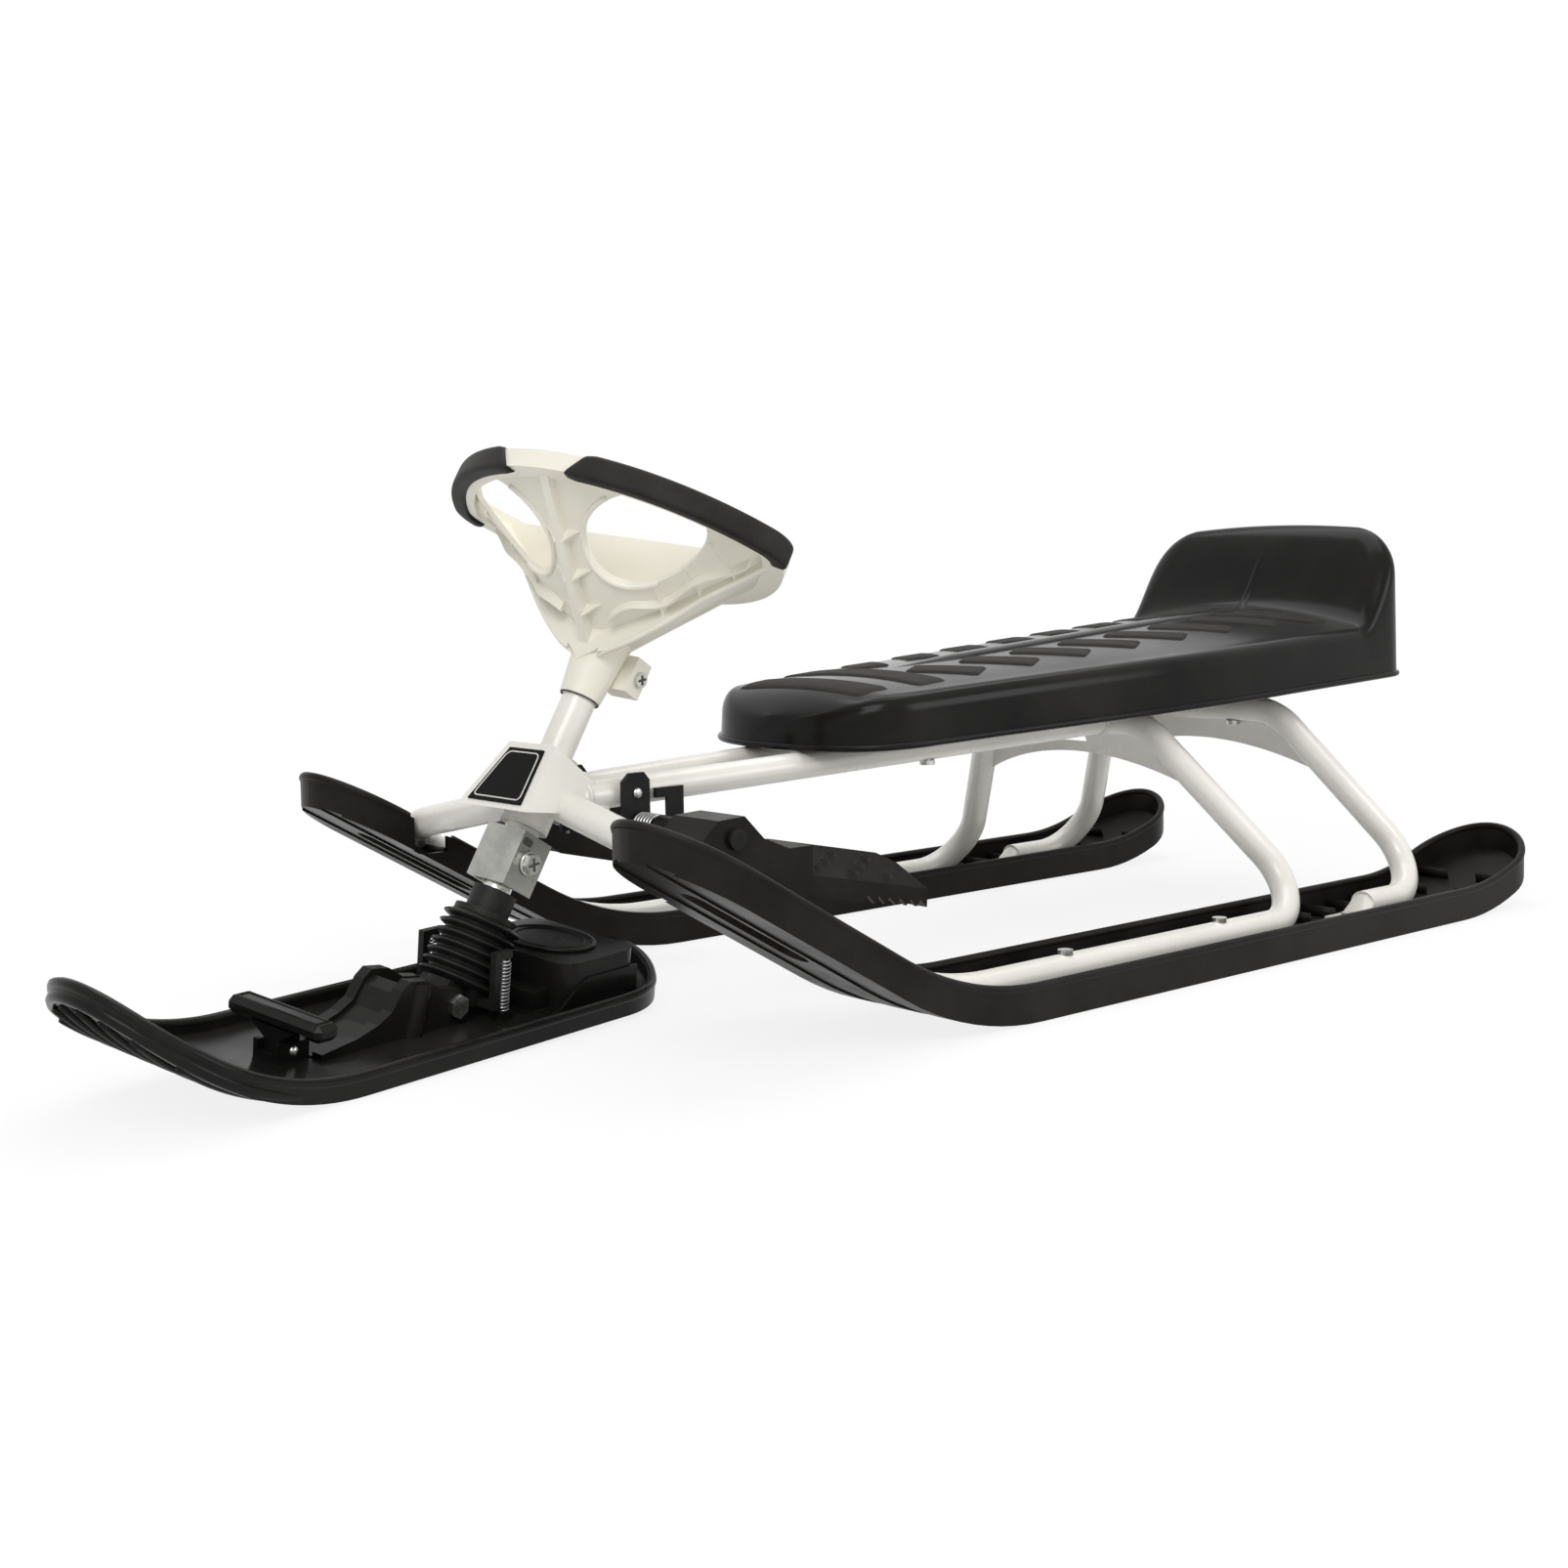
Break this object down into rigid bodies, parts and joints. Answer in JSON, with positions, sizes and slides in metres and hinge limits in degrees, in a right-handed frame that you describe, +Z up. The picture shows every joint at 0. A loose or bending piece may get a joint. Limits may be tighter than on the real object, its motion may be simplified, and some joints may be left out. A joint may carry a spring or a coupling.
{
  "type": "steering sled",
  "caption": "Steerable snow sled with a moulded seat on a bent tube frame, long rear runners, foot brakes and a front ski turned by a wheel through a sprung raked strut.",
  "frame": {"origin": "middle of the footprint at the level of the runner soles", "axes": "+Z up, front towards -Y, +X towards the rider's left"},
  "size_m": [0.49, 1.2326, 0.3886],
  "materials": {
    "white_paint": "gloss powder coat",
    "white_plastic": "satin moulded",
    "black_gloss": "gloss moulded",
    "black_matte": "fine grain",
    "zinc": "zinc plated",
    "spring_steel": "drawn wire",
    "rubber": "matte",
    "black_paint": "satin black",
    "nylon": "plain"
  },
  "bodies": {
    "chassis": {"main_frame_tube": "white_paint", "rear_hoop_tube": "white_paint", "left_rail": "white_paint", "right_rail": "white_paint", "front_gusset": "white_paint", "rear_gusset": "white_paint", "head_tube": "white_paint", "head_cover": "white_paint", "head_plate": "black_matte", "upper_bush": "nylon", "lower_bush": "nylon", "left_runner": "black_matte", "right_runner": "black_matte", "runner_screws": "zinc", "seat_shell": "black_gloss", "seat_bolts": "zinc", "left_brake_bracket": "black_paint", "right_brake_bracket": "black_paint", "bracket_rivets": "zinc", "brake_pins": "black_paint", "left_brake_spring": "spring_steel", "right_brake_spring": "spring_steel"},
    "steering": {"steering_column": "white_paint", "wheel_body": "white_plastic", "left_grip": "black_matte", "right_grip": "black_matte", "wheel_screw": "zinc", "clamp_bracket": "zinc", "clamp_bolt": "zinc", "strut_rod": "zinc", "bellows_collar": "rubber", "bellows": "rubber", "strut_spring": "spring_steel"},
    "strut_slider": {"strut_foot": "black_matte"},
    "ski": {"front_ski": "black_gloss", "pivot_bolt": "zinc", "pull_springs": "spring_steel", "winder_housing": "black_gloss", "winder_lid": "black_gloss", "winder_axle": "nylon", "reel_spring": "spring_steel"},
    "cord_reel": {"reel_drum": "nylon"},
    "tow_grip": {"tow_handle": "black_gloss"},
    "left_brake": {"left_brake_pedal": "black_matte"},
    "right_brake": {"right_brake_pedal": "black_matte"}
  },
  "joints": [
    {"name": "steer", "type": "hinge", "parent": "chassis", "child": "steering", "pos_m": [0, -0.28671, 0.112], "axis": [0, 0.5, 0.866], "range_deg": [-49, 21]},
    {"name": "strut_slide", "type": "slide", "parent": "steering", "child": "strut_slider", "axis": [0, 0.5, 0.866], "range_m": [0, 0.018], "stiffness_N_per_m": 6000, "springref_m": -0.012, "deforming": ["bellows", "strut_spring"]},
    {"name": "ski_pitch", "type": "hinge", "parent": "strut_slider", "child": "ski", "pos_m": [0.00356, -0.3516, 0.02818], "axis": [0.9703, 0.2095, -0.121], "range_deg": [-8, 5], "stiffness_Nm_per_rad": 30, "deforming": ["pull_springs"]},
    {"name": "reel_turn", "type": "hinge", "parent": "ski", "child": "cord_reel", "pos_m": [-0.01885, -0.24472, 0.03356], "axis": [0.121, 0.0129, 0.9926], "range_deg": [0, 97]},
    {"name": "tow_pull", "type": "slide", "parent": "ski", "child": "tow_grip", "axis": [0.2225, -0.5763, 0.7863], "range_m": [0, 0.03], "stiffness_N_per_m": 60, "springref_m": -0.04},
    {"name": "left_brake_press", "type": "hinge", "parent": "chassis", "child": "left_brake", "pos_m": [0.117, -0.20571, 0.13], "axis": [-1, 0, 0], "range_deg": [0, 22], "stiffness_Nm_per_rad": 1.5, "springref_deg": -22.92},
    {"name": "right_brake_press", "type": "hinge", "parent": "chassis", "child": "right_brake", "pos_m": [-0.117, -0.20571, 0.13], "axis": [-1, 0, 0], "range_deg": [0, 22], "stiffness_Nm_per_rad": 1.5, "springref_deg": -22.92}
  ],
  "couplings": [
    {"joint": "reel_turn", "follows": "tow_pull", "rad_per_m": 55.556}
  ]
}
